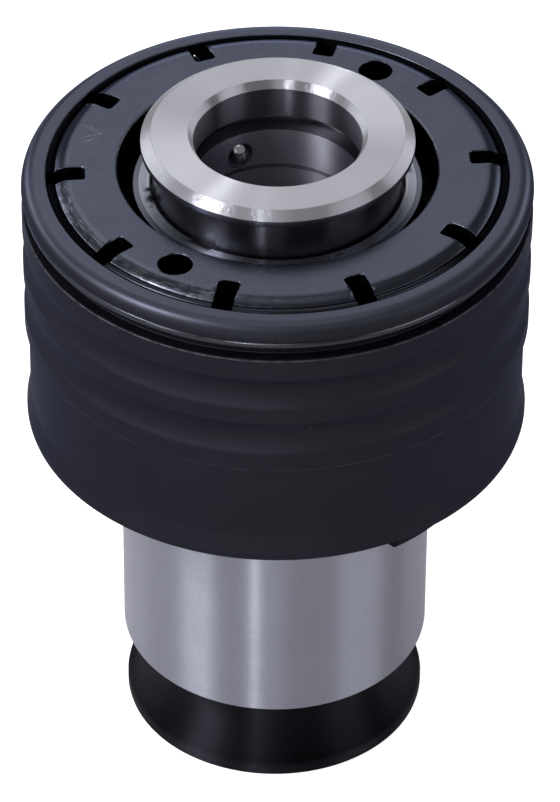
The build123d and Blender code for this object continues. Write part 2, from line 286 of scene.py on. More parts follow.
def smoothed(obj):
    """Point the faces outwards, and shade them smooth with sharp real edges."""
    work = bmesh.new()
    work.from_mesh(obj.data)
    bmesh.ops.remove_doubles(work, verts=work.verts, dist=weld)
    bmesh.ops.recalc_face_normals(work, faces=work.faces)
    work.to_mesh(obj.data)
    work.free()
    obj.data.shade_smooth()
    obj.data.set_sharp_from_angle(angle=smooth_angle)
    for face in obj.data.polygons:
        face.use_smooth = abs(face.normal.z) < level_face
    weighted = obj.modifiers.new("flat_faces_stay_flat", "WEIGHTED_NORMAL")
    weighted.keep_sharp = True
    weighted.weight = large_face_weight
    return as_made(obj)


def with_supports(corners):
    """The outline with extra points near the ends of its long edges, so that flats shade flat."""
    past_rounding, most_share = 1.3, 0.45
    supported = []
    for i, corner in enumerate(corners):
        following = corners[(i + 1) % len(corners)]
        run, rise = following[0] - corner[0], following[1] - corner[1]
        length = math.hypot(run, rise)
        supported.append(corner)
        if length > support_from:
            for end, along in ((corner, 1), (following, -1)):
                rounding = end[2] if len(end) > 2 else 0.0
                share = (past_rounding * rounding + support_gap) / length
                if share < most_share:
                    share = share if along == 1 else 1 - share
                    supported.append((corner[0] + run * share, corner[1] + rise * share))
    return supported


def outline_mesh(name, corners):
    """A closed outline of (radius, height, rounding) in the XZ plane."""
    corners = with_supports(corners)
    mesh = bpy.data.meshes.new(name)
    count = len(corners)
    points = [(corner[0] * MM, 0.0, corner[1] * MM) for corner in corners]
    mesh.from_pydata(points, [(i, (i + 1) % count) for i in range(count)], [])
    rounding = mesh.attributes.new("rounding", "FLOAT", "POINT")
    for item, corner in zip(rounding.data, corners):
        item.value = (corner[2] if len(corner) > 2 else 0.0) * MM
    return mesh


def turned(name, corners, finish, cuts=()):
    """A turned piece, with evenly spaced cuts of (cutter, count, first angle)."""
    obj = as_object(name, outline_mesh(name, corners))
    apply_tree(obj, lathe, steps=lathe_steps, finish=finish)
    as_made(obj)
    for cutter, count, first_angle in cuts:
        smoothed(obj)
        apply_tree(obj, around_cut, cutter=cutter, count=count, first_angle=first_angle, finish=finish)
        as_made(obj)
    for cutter, _, _ in cuts:
        bpy.data.objects.remove(cutter)
    return smoothed(obj)


def lofted(name, rings):
    """A closed solid through rings of points that lie one above the other."""
    mesh = bpy.data.meshes.new(name)
    count = len(rings[0])
    points = [Vector(point) * MM for ring_points in rings for point in ring_points]
    faces = [tuple(reversed(range(count))), tuple(range(len(points) - count, len(points)))]
    for level in range(len(rings) - 1):
        low, high = level * count, (level + 1) * count
        for i in range(count):
            j = (i + 1) % count
            faces.append((low + i, low + j, high + j, high + i))
    mesh.from_pydata(points, [], faces)
    return as_object(name, mesh)


def circle_points(centre, radius, height, count):
    """Points of a level circle whose centre lies on the X axis."""
    return [
        (centre + radius * math.cos(TURN * i / count), radius * math.sin(TURN * i / count), height)
        for i in range(count)
    ]


def upright_circle(x, radius, height, count):
    """Points of a circle that stands across the X axis."""
    turns = [TURN * i / count for i in range(count)]
    return [(x, radius * math.cos(t), height + radius * math.sin(t)) for t in turns]


def ball(name, radius, centre):
    """A fine sphere."""
    work = bmesh.new()
    bmesh.ops.create_uvsphere(work, u_segments=48, v_segments=24, radius=radius * MM)
    bmesh.ops.translate(work, verts=work.verts, vec=Vector(centre) * MM)
    mesh = bpy.data.meshes.new(name)
    work.to_mesh(mesh)
    work.free()
    return as_object(name, mesh)


def arc_between(start, middle, end, steps):
    """Corners along the arc through three points of an outline."""
    (ax, ay), (bx, by), (cx, cy) = start, middle, end
    twice_area = 2 * (ax * (by - cy) + bx * (cy - ay) + cx * (ay - by))
    a, b, c = ax * ax + ay * ay, bx * bx + by * by, cx * cx + cy * cy
    x = (a * (by - cy) + b * (cy - ay) + c * (ay - by)) / twice_area
    y = (a * (cx - bx) + b * (ax - cx) + c * (bx - ax)) / twice_area
    radius = math.hypot(ax - x, ay - y)
    first, passing, last = (math.atan2(py - y, px - x) for px, py in (start, middle, end))
    sweep = (last - first) % TURN
    if (passing - first) % TURN > sweep:
        sweep -= TURN
    angles = [first + sweep * i / steps for i in range(1, steps)]
    return [start] + [(x + radius * math.cos(t), y + radius * math.sin(t)) for t in angles] + [end]


def easing_arc(start, end, steps):
    """Corners along an arc that leaves level from its start, as a rounded shoulder does."""
    run, drop = end[0] - start[0], start[1] - end[1]
    radius = (run * run + drop * drop) / (2 * drop)
    sweep = math.asin(min(1.0, abs(run) / radius))
    side = math.copysign(1.0, run)
    return [
        (
            start[0] + side * radius * math.sin(sweep * i / steps),
            start[1] - radius * (1 - math.cos(sweep * i / steps)),
        )
        for i in range(steps + 1)
    ]


lathe = turning_tree()
around_cut = cutting_tree()
around_set = repeating_tree()
wire_bender = wire_tree()


# Shader groups that several finishes share

def place_group():
    """Where a point lies, in millimetres: its radius, height, place across and place in front."""
    gives = ["Radius", "Height", "Across", "Front"]
    tree, given, result = new_group("place_on_axis", "ShaderNodeTree", {"Vector": "Vector"}, gives)
    x, y, z = put(tree, "ShaderNodeSeparateXYZ", given[0]).outputs
    squares = calc(tree, "ADD", calc(tree, "MULTIPLY", x, x), calc(tree, "MULTIPLY", y, y))
    parts = (calc(tree, "SQRT", squares), z, calc(tree, "ADD", x, y), calc(tree, "MULTIPLY", y, -1.0))
    for socket, metres in zip(result, parts):
        feed(tree, socket, calc(tree, "MULTIPLY", metres, 1 / MM))
    return tree


def turning_marks_group():
    """The fine rings that a lathe tool or a grinding wheel leaves round a piece."""
    takes = {"Vector": "Vector", "Marks Per Millimetre": 8.0, "Waviness": 0.05}
    tree, given, result = new_group("turning_marks", "ShaderNodeTree", takes, ["Relief", "Shade"])
    place = put_group(tree, place_on_axis, given["Vector"])
    pitch = given["Marks Per Millimetre"]
    rings = join_xyz(
        tree,
        calc(tree, "MULTIPLY", place["Radius"], pitch),
        calc(tree, "MULTIPLY", place["Height"], pitch),
        calc(tree, "MULTIPLY", place["Across"], given["Waviness"]),
    )
    fine = noise(tree, rings, 1.0, 3.0, 0.6)
    coarse = noise(tree, rings, 0.13, 2.0, 0.5)
    feed(tree, result["Relief"], fine)
    feed(tree, result["Shade"], calc(tree, "MULTIPLY", calc(tree, "ADD", fine, coarse), 0.5))
    return tree


def band_group():
    """1 between two values, fading to 0 outside them."""
    takes = {"Value": 0.0, "From": 0.0, "To": 1.0, "Fade": 0.05}
    tree, given, result = new_group("band", "ShaderNodeTree", takes, ["Mask"])
    value, start, end, fade = (given[name] for name in takes)
    rise = ramp(tree, value, calc(tree, "SUBTRACT", start, fade), start)
    fall = ramp(tree, value, calc(tree, "ADD", end, fade), end)
    feed(tree, result[0], calc(tree, "MULTIPLY", rise, fall))
    return tree


def handling_group():
    """Smudges of oil, fine grain and a few hair scratches."""
    takes, gives = {"Vector": "Vector", "Seed": 0.0}, ["Smudge", "Grain", "Scratch"]
    tree, given, result = new_group("handling_marks", "ShaderNodeTree", takes, gives)
    offset = join_xyz(tree, given["Seed"], given["Seed"], 0.0)
    place = put(tree, "ShaderNodeVectorMath", given["Vector"], offset, operation="ADD").outputs[0]
    smudge_cells, grain_cells, hair_cells, gap_cells = 180.0, 5200.0, 260.0, 210.0
    drawn_out = {"Rotation": (0.4, 0.9, 0.7), "Scale": (1.0, 6.0, 0.35)}
    hairs = put(tree, "ShaderNodeMapping", place, sockets=drawn_out).outputs[0]
    from_middle = calc(tree, "SUBTRACT", noise(tree, hairs, hair_cells, 1.0, 0.4, 0.3), 0.5)
    line = ramp(tree, calc(tree, "ABSOLUTE", from_middle), 0.004, 0.001)
    rare = ramp(tree, noise(tree, place, gap_cells, 1.0, 0.5), 0.68, 0.74)
    feed(tree, result["Smudge"], noise(tree, place, smudge_cells, 4.0, 0.6, 0.4))
    feed(tree, result["Grain"], noise(tree, place, grain_cells, 3.0, 0.7))
    feed(tree, result["Scratch"], calc(tree, "MULTIPLY", line, rare))
    return tree


def scratch_group():
    """One straight scratch: faint ends, a broken line, its place and length in millimetres."""
    takes = {"Vector": "Vector", "Centre": "Vector", "Angle": 0.0, "Half Length": 1.0, "Half Width": 0.04}
    tree, given, result = new_group("one_scratch", "ShaderNodeTree", takes, ["Mask"])
    there = scaled(tree, given["Vector"], 1 / MM)
    lying = {"Location": given["Centre"], "Rotation": join_xyz(tree, 0.0, 0.0, given["Angle"])}
    local = put(tree, "ShaderNodeMapping", there, sockets=lying, vector_type="TEXTURE").outputs[0]
    along, across, _ = put(tree, "ShaderNodeSeparateXYZ", local).outputs
    mask = 1.0
    for distance, half in ((along, given["Half Length"]), (across, given["Half Width"])):
        away = calc(tree, "ABSOLUTE", distance)
        mask = calc(tree, "MULTIPLY", mask, ramp(tree, away, half, calc(tree, "MULTIPLY", half, 0.5)))
    broken = noise(tree, there, 2.6, 2.0, 0.6)
    gaps = put(tree, "ShaderNodeMapRange", broken, 0.36, 0.62).outputs[0]
    feed(tree, result[0], calc(tree, "MULTIPLY", mask, gaps))
    return tree


place_on_axis = place_group()
turning_marks = turning_marks_group()
band = band_group()
handling_marks = handling_group()
one_scratch = scratch_group()


# Finishes

class Finish:
    """A material under way: its tree, its shader, and where each point of the piece lies."""

    def __init__(self, name, colour, roughness, seed=0.0, edge_tint=None):
        self.material = bpy.data.materials.new(name)
        self.material.use_nodes = True
        self.tree = self.material.node_tree
        self.shader = self.tree.nodes["Principled BSDF"]
        self.shader.inputs["Metallic"].default_value = 1.0
        if edge_tint is not None:
            self.shader.inputs["Specular Tint"].default_value = (*edge_tint, 1.0)
        self.vector = put(self.tree, "ShaderNodeTexCoord").outputs["Object"]
        self.place = put_group(self.tree, place_on_axis, self.vector)
        self.marks = put_group(self.tree, handling_marks, self.vector, seed)
        self.colour = (*colour, 1.0)
        self.roughness = roughness
        self.relief = []

    def band_of(self, axis, start, end, fade=0.06):
        """Mask of the points whose Radius or Height lies between two values."""
        return put_group(self.tree, band, self.place[axis], start, end, fade)[0]

    def zone(self, radius, height):
        """Mask of a band by radius and one by height, each from, to and fade."""
        return self.both(self.band_of("Radius", *radius), self.band_of("Height", *height))

    def both(self, *masks):
        """Where all the masks hold."""
        product = masks[0]
        for mask in masks[1:]:
            product = calc(self.tree, "MULTIPLY", product, mask)
        return product

    def any_of(self, *masks):
        """Where one of the masks holds."""
        largest = masks[0]
        for mask in masks[1:]:
            largest = calc(self.tree, "MAXIMUM", largest, mask)
        return largest

    def ragged(self, value, low, high):
        """A noise value made a mask between two levels."""
        return ramp(self.tree, value, low, high)

    def noise(self, scale, detail=3.0, roughness=0.55, distortion=0.0):
        """A plain noise on the piece, scale in cells per metre."""
        return noise(self.tree, self.vector, scale, detail, roughness, distortion)

    def lay(self, mask, colour=None, roughness=None):
        """Lay another colour or roughness where the mask holds."""
        if colour is not None:
            self.colour = mix(self.tree, "RGBA", mask, self.colour, (*colour, 1.0))
        if roughness is not None:
            self.roughness = mix(self.tree, "FLOAT", mask, self.roughness, roughness)

    def vary(self, value, shade, gloss):
        """Let a noise lighten the colour by shade and the roughness by gloss, both ways."""
        swing = calc(self.tree, "SUBTRACT", value, 0.5)
        lighter = calc(self.tree, "MULTIPLY_ADD", swing, 2 * shade, 1.0)
        colour = self.colour[:3] if isinstance(self.colour, tuple) else self.colour
        self.colour = scaled(self.tree, colour, lighter)
        self.roughness = calc(self.tree, "MULTIPLY_ADD", swing, 2 * gloss, self.roughness)

    def wear(self, mark, shade, gloss):
        """Let one of the handling marks vary the colour and the roughness."""
        self.vary(self.marks[mark], shade, gloss)

    def grained(self, depth):
        """Let the grain stand up by a depth in millimetres."""
        self.raise_by(self.marks["Grain"], depth)

    def haired(self, colour, strength):
        """Lay a colour on the hair scratches."""
        self.lay(self.both(self.marks["Scratch"], strength), colour)

    def raise_by(self, height, depth):
        """Add a relief, its depth in millimetres."""
        self.relief.append((height, depth * MM))

    def turned_by(self, per_mm, depth, shade, gloss, waviness=0.05):
        """Turning marks, as relief and as faint rings of shade and gloss."""
        rings = put_group(self.tree, turning_marks, self.vector, per_mm, waviness)
        self.raise_by(rings["Relief"], depth)
        self.vary(rings["Shade"], shade, gloss)

    def scratched(self, scratches, colour, strength):
        """Scratches listed one by one, each (azimuth, radius, height, turn, length) in degrees and
        millimetres.
        """
        half_width = 0.07
        for azimuth, radius, height, turn, length in scratches:
            a = math.radians(azimuth)
            centre = (radius * math.sin(a), -radius * math.cos(a), height)
            size = (math.radians(turn), length / 2, half_width)
            mask = put_group(self.tree, one_scratch, self.vector, centre, *size)[0]
            self.lay(self.both(mask, strength), colour)

    def done(self, anisotropy=0.0):
        """Wire the shader and hand over the material."""
        sockets = self.shader.inputs
        feed(self.tree, sockets["Base Color"], self.colour)
        feed(self.tree, sockets["Roughness"], self.roughness)
        normal = None
        for height, depth in self.relief:
            relief = {"Strength": 1.0, "Distance": depth, "Height": height, "Normal": normal}
            normal = put(self.tree, "ShaderNodeBump", sockets=relief).outputs[0]
        feed(self.tree, sockets["Normal"], normal)
        if anisotropy:
            sockets["Anisotropic"].default_value = anisotropy
            sockets["Anisotropic Rotation"].default_value = 0.25
            around_axis = put(self.tree, "ShaderNodeTangent", direction_type="RADIAL", axis="Z")
            feed(self.tree, sockets["Tangent"], around_axis.outputs[0])
        return self.material


# Colours of the finishes, the share of red, green and blue that they give back

oxide = (0.025, 0.0253, 0.034)
# painted sheen: a lighter oxide colour that stands in for the reflection on the housing rim's top
painted_sheen = (0.078, 0.085, 0.114)
oxide_edge = (0.62, 0.64, 0.80)
bare_steel = (0.35, 0.355, 0.43)
rubbed = (0.16, 0.165, 0.19)
# painted shade: near black laid on the nut's thread and hidden walls, which lie in dark gaps
painted_shade_black = (0.003, 0.003, 0.004)
# painted shade on the inner edges of the rings and springs round the hub
inner_painted_shade = (0.008, 0.008, 0.010)
# painted light: a light grey that stands in for light reaching down the spindle's bore
bore_painted_light = (0.36, 0.36, 0.44)
end_black = (0.021, 0.021, 0.028)
wire_steel = (0.055, 0.057, 0.068)
wire_shadow = (0.001, 0.001, 0.001)
nut_oxide = (0.078, 0.086, 0.115)
shoulder_oxide = (0.050, 0.055, 0.074)
# painted highlight: light flecks that stand in for a lamp's glints on the nut's shoulder
painted_glint = (0.34, 0.36, 0.42)
crest_oxide = (0.035, 0.037, 0.048)
# painted shade in the nut's thread root
root_painted_shade = (0.006, 0.006, 0.008)
edge_steel = (0.26, 0.27, 0.30)
hair_steel = (0.22, 0.225, 0.24)
scuff_steel = (0.26, 0.26, 0.27)
collar_steel = (0.14, 0.143, 0.175)
# painted light: a light grey that stands in for light reaching the collar's inner walls
collar_inside_painted_light = (0.40, 0.40, 0.48)
turned_bore = (0.12, 0.12, 0.15)
turned_bright = (0.53, 0.535, 0.59)
collar_hair = (0.35, 0.35, 0.36)
ring_steel = (0.33, 0.345, 0.41)
# painted shade on the walls under the ring's and the hub's tops
wall_painted_shade = (0.004, 0.004, 0.005)
# painted highlight: a light grey for the light caught by the ring's rounded inner edge
painted_edge_highlight = (0.42, 0.43, 0.46)
# painted reflection: near black for the dark underside of the nose mirrored in the ring's flat
painted_reflection_black = (0.010, 0.010, 0.012)
level_steel = (0.10, 0.10, 0.125)
spindle_steel = (0.14, 0.147, 0.18)
ball_steel = (0.60, 0.60, 0.62)
race_steel = (0.34, 0.34, 0.35)
disc_steel = (0.075, 0.074, 0.076)
cage_brass = (0.62, 0.43, 0.17)


def oxide_finish(name, colour, roughness, rubbed_bands, painted_sheen_bands, seed):
    """Black oxide with turning marks, smudges, edges rubbed lighter and a sheen painted on the given bands.
    """
    finish = Finish(name, colour, roughness, seed, oxide_edge)
    finish.turned_by(7.0, 0.0012, 0.10, 0.05)
    finish.wear("Smudge", 0.22, 0.10)
    finish.wear("Grain", 0.10, 0.05)
    worn = finish.ragged(finish.noise(900.0, 3.0, 0.7), 0.30, 0.62)
    # painted sheen, laid where the rim's top reflects its surroundings
    for start, end, low, high in painted_sheen_bands:
        finish.lay(finish.zone((start, end, 0.5), (low, high, 0.6)), painted_sheen, 0.36)
    for axis, start, end, other, low, high, strength in rubbed_bands:
        edges = finish.band_of(axis, start, end, 0.05), finish.band_of(other, low, high, 0.05)
        finish.lay(finish.both(*edges, worn, strength), rubbed, 0.34)
    finish.haired(rubbed, 0.5)
    finish.grained(0.0010)
    return finish.done()


# Sizes that the finishes and the pieces share, in millimetres

_, flange_top, flange_radius = reach("shank")
head_foot, rim_top, head_radius = reach("clutch_housing")
nut_foot, nut_top, nut_radius = reach("adjusting_nut")
skirt_foot, nose_top, nose_radius = reach("release_collar")
skirt_top, hub_top, seat_radius = reach("retaining_ring")
tail_foot, tube_top, cage_radius = reach("spindle")
wire_foot, wire_top, wire_reach = reach("lock_wire")
bore_radius = 8.0
relieved_radius = 8.17
tube_radius = 10.0
neck_radius = 12.05
hub_bore = 13.05
hub_radius = 14.05
nut_bore = 15.55
housing_bore = 22.4
shank_radius = 15.5
ball_circle = (hub_radius + housing_bore) / 2
clutch_ball_radius = 2.5
wire_radius = (wire_top - wire_foot) / 2
ball_radius, ball_height = 1.5, 62.15
land_top = ball_height - ball_radius - 0.25
slot_azimuth = math.radians(4.6)
slot_count = 10
wire_azimuth = slot_azimuth + 3 * TURN / slot_count     # the slot that the lock wire's tip reaches into
under_all, over_all, past_all = -1.0, 99.0, 30.0        # limits of bands that end outside the part


def shank():
    """End flange, locking groove, ground shank, relief, flange with ball pockets, drive dogs."""
    rim_radius, rim_height, rim_round = 15.2, 1.5, 0.35
    groove_radius, groove_top = 12.8, 9.2
    relief_foot, relief_depth = head_foot - 5.3, 0.3
    dog_radius, dog_half_width, dog_length, dog_azimuth = 21.0, 4.5, 4.9, math.radians(137.0)
    flange_foot = flange_top - 4.5
    end_bore, end_chamfer = 7.0, 0.8
    tail_bore = 12.05
    bore_floor = tail_foot - 0.2
    cove = rim_radius - rim_round - groove_radius
    middle_out, middle_up, whole_up = 0.27 * cove, 0.85 * cove, 1.8 * cove
    cove_arc = arc_between(
        (rim_radius - rim_round, rim_height),
        (groove_radius + middle_out, rim_height + middle_up),
        (groove_radius, rim_height + whole_up),
        16,
    )
    outline = [
        (end_bore + end_chamfer, 0, 0.1),
        (rim_radius, 0, rim_round),
        (rim_radius, rim_height, rim_round * 0.8),
        *cove_arc[1:],
        (groove_radius, groove_top, 0.15),
        (shank_radius - 0.25, groove_top, 0.08),
        (shank_radius, groove_top + 0.25, 0.12),
        (shank_radius, relief_foot, 0.08),
        (shank_radius - relief_depth, relief_foot + relief_depth, 0.1),
        (shank_radius - relief_depth, head_foot, 0.1),
        (dog_radius, head_foot, 0.1),
        (dog_radius, flange_foot),
        (flange_radius, flange_foot, 0.1),
        (flange_radius, flange_top, 0.1),
        (tail_bore, flange_top, 0.1),
        (tail_bore, bore_floor),
        (end_bore, bore_floor, 0.1),
        (end_bore, end_chamfer, 0.08),
    ]
    ground = Finish("ground_steel", bare_steel, 0.34)
    ground.turned_by(11.0, 0.0006, 0.09, 0.04, 0.03)
    ground.wear("Grain", 0.22, 0.06)
    ground.wear("Smudge", 0.05, 0.05)
    blackened = ground.any_of(
        ground.band_of("Height", under_all, groove_top - 0.02, 0.05),
        ground.band_of("Height", relief_foot + relief_depth, over_all, 0.05),
        ground.band_of("Radius", 0.0, shank_radius - 0.6, 0.05),
    )
    ground.lay(blackened, end_black, 0.55)
    worn = ground.ragged(ground.noise(2400.0, 3.0, 0.6), 0.35, 0.7)
    rim = ground.zone((rim_radius - 0.22, rim_radius + 0.1, 0.1), (-0.1, rim_height, 0.1))
    ground.lay(ground.both(rim, worn, 0.05), rubbed, 0.5)
    ground.haired(rubbed, 0.25)
    finish = ground.done(1.0)
    ball_room, wall_slope, ball_rise = 2.55, math.radians(50), 1.2
    pocket_depth = ball_room / math.sin(wall_slope)
    mouth = pocket_depth * math.tan(wall_slope)
    apex = flange_top + ball_rise - pocket_depth
    cone = ((0.02, apex), (mouth, apex + pocket_depth))
    pocket = lofted("pocket_cutter", [circle_points(ball_circle, r, z, 32) for r, z in cone])
    piece = turned("shank_turned", outline, finish, [(pocket, 12, 0.0)])
    inner = shank_radius - 1.0
    dog_foot = head_foot - dog_length

    def dog_ring(radius, height):
        half = math.asin(dog_half_width / radius)
        turns = [half * (i / 12 * 2 - 1) for i in range(13)]
        arc = [(radius * math.cos(t), radius * math.sin(t), height) for t in turns]
        return [(inner, -dog_half_width, height)] + arc + [(inner, dog_half_width, height)]

    levels = ((dog_radius - 0.4, dog_foot), (dog_radius, dog_foot + 0.4), (dog_radius, head_foot + 0.5))
    dog = lofted("drive_dogs", [dog_ring(radius, height) for radius, height in levels])
    broken = dog.modifiers.new("broken_edges", "BEVEL")
    broken.width = 0.15 * MM
    broken.segments = 2
    broken.limit_method = "ANGLE"
    broken.angle_limit = math.radians(40)
    shaped(dog, around_set, count=2, first_angle=dog_azimuth, finish=finish)
    for part in (piece, dog):
        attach(part, "adapter")
        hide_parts("shank")


def clutch_housing():
    """The black shell of the head: plain marking band, two finger coves, wire groove and rim."""
    band_depth = 0.4
    foot_band, foot_flare, plain_band = 0.8, 2.1, 8.45
    lower_land, lower_cove, middle_land, upper_cove = 2.05, 3.8, 1.7, 3.6
    cove_depth = 0.55
    upper_band, groove_height, groove_depth = 2.33, 2.17, 1.25
    rim_round = 1.5
    lip_radius, lip_height = 21.2, 2.0
    flare_top = head_foot + foot_band + foot_flare
    band_radius = head_radius - band_depth
    land_foot = flare_top + plain_band
    cove_foot = land_foot + lower_land
    middle_foot = cove_foot + lower_cove
    upper_foot = middle_foot + middle_land
    upper_top = upper_foot + upper_cove
    groove_foot = upper_top + upper_band
    groove_top = groove_foot + groove_height
    arc_share = 0.293     # of its radius, how far a quarter arc's middle lies in from the corner

    def cove_arc(foot, top):
        deepest = (head_radius - cove_depth, (foot + top) / 2)
        return arc_between((head_radius, foot), deepest, (head_radius, top), 12)

    outline = [
        (lip_radius, head_foot, 0.1),
        (head_radius, head_foot, 0.35),
        (head_radius, head_foot + foot_band, 0.2),
        (band_radius, flare_top, 1.2),
        (band_radius, land_foot, 0.06),
        (head_radius, land_foot, 0.14),
        *cove_arc(cove_foot, middle_foot),
        *cove_arc(upper_foot, upper_top),
        (head_radius, groove_foot, 0.15),
        (head_radius - groove_depth, groove_foot, 0.1),
        (head_radius - groove_depth, groove_top, 0.1),
        (head_radius, groove_top, 0.15),
        *arc_between(
            (head_radius, rim_top - rim_round),
            (head_radius - rim_round * arc_share, rim_top - rim_round * arc_share),
            (head_radius - rim_round, rim_top),
            10,
        ),
        (housing_bore, rim_top, 0.15),
        (housing_bore, head_foot + lip_height, 0.1),
        (lip_radius, head_foot + lip_height, 0.1),
    ]
    finish = oxide_finish(
        "black_oxide",
        oxide,
        0.56,
        [
            ("Height", groove_foot - 0.12, groove_foot + 0.05, "Radius", head_radius - 0.2, past_all, 0.3),
            ("Height", groove_top - 0.05, groove_top + 0.12, "Radius", head_radius - 0.2, past_all, 0.1),
            ("Height", land_foot, land_foot + 0.12, "Radius", head_radius - 0.2, past_all, 0.4),
            ("Radius", housing_bore, housing_bore + 0.1, "Height", rim_top - 0.2, over_all, 0.5),
            ("Height", head_foot - 0.1, head_foot + 0.12, "Radius", head_radius - 0.4, past_all, 0.3),
        ],
        # the rim's top, which gets the painted sheen
        [(housing_bore, head_radius - 0.6, rim_top - 0.25, over_all)],
        seed=0.2,
    )
    hole_radius, hole_height = 0.8, (wire_foot + wire_top) / 2
    hole_ends = (head_radius - 4.0, head_radius + 2.0)
    drill = lofted("wire_hole_cutter", [upright_circle(x, hole_radius, hole_height, 24) for x in hole_ends])
    piece = turned("clutch_housing_turned", outline, finish, [(drill, 1, wire_azimuth)])
    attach(piece, "adapter")
    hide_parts("clutch_housing")


def lock_wire():
    """A sprung ring of wire whose bent tip reaches through the housing into the nut."""
    circle = wire_reach - wire_radius
    bend, tip, sweep, height = 1.2, 20.7, math.radians(334), (wire_foot + wire_top) / 2
    start = math.sqrt((circle - bend) ** 2 - bend**2)
    bend_angle = math.atan2(bend, start)
    path = [(tip, 0.0), (start - 0.4, 0.0)]
    for i in range(1, 9):
        t = (TURN / 4 + bend_angle) * i / 8
        path.append((start + bend * math.sin(t), bend - bend * math.cos(t)))
    steps = 260
    for i in range(1, steps + 1):
        t = bend_angle + sweep * i / steps
        path.append((circle * math.cos(t), circle * math.sin(t)))
    turn = Matrix.Rotation(wire_azimuth, 3, "Z")
    points = [turn @ (Vector((x, y, height)) * MM) for x, y in path]
    mesh = bpy.data.meshes.new("lock_wire_bent")
    mesh.from_pydata(points, [(i, i + 1) for i in range(len(points) - 1)], [])
    finish = Finish("spring_wire", wire_steel, 0.24, 0.0, oxide_edge)
    finish.wear("Smudge", 0.3, 0.12)
    finish.vary(finish.noise(2600.0), 0.15, 0.1)
    finish.lay(finish.band_of("Radius", 0.0, circle - wire_radius / 2, 0.2), wire_shadow, 1.0)
    finish.grained(0.0015)
    piece = as_object("lock_wire_bent", mesh)
    shaped(piece, wire_bender, wire_radius=wire_radius * MM, sides=20, finish=finish.done())
    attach(piece, "adapter")
    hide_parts("lock_wire")


def flared_levels(depth, flare):
    """Growth and height of a nut cutter's sections: straight walls, then a broken edge on top."""
    face, clear = nut_top + 0.001, nut_top + 1.0
    return ((0.0, nut_top - depth), (0.0, nut_top - flare), (flare, face), (flare, clear))


def slot_cutter():
    """A slot of the nut: round inner corners and a broken edge at its mouth."""
    half_width, inner, outer, depth = 1.0, 18.7, 25.0, 3.8
    corner, flare = 0.3, 0.1

    def plan(grow, height):
        round_by = corner + grow
        reach_in, reach_aside = inner - grow + round_by, half_width + grow - round_by
        points = [(outer, side * (half_width + grow), height) for side in (-1, 1)]
        for side, start in ((1, TURN / 4), (-1, TURN / 2)):
            for i in range(6):
                t = start + TURN / 4 * i / 5
                x, y = reach_in + round_by * math.cos(t), side * reach_aside + round_by * math.sin(t)
                points.append((x, y, height))
        return points

    return lofted("slot_cutter", [plan(grow, height) for grow, height in flared_levels(depth, flare)])


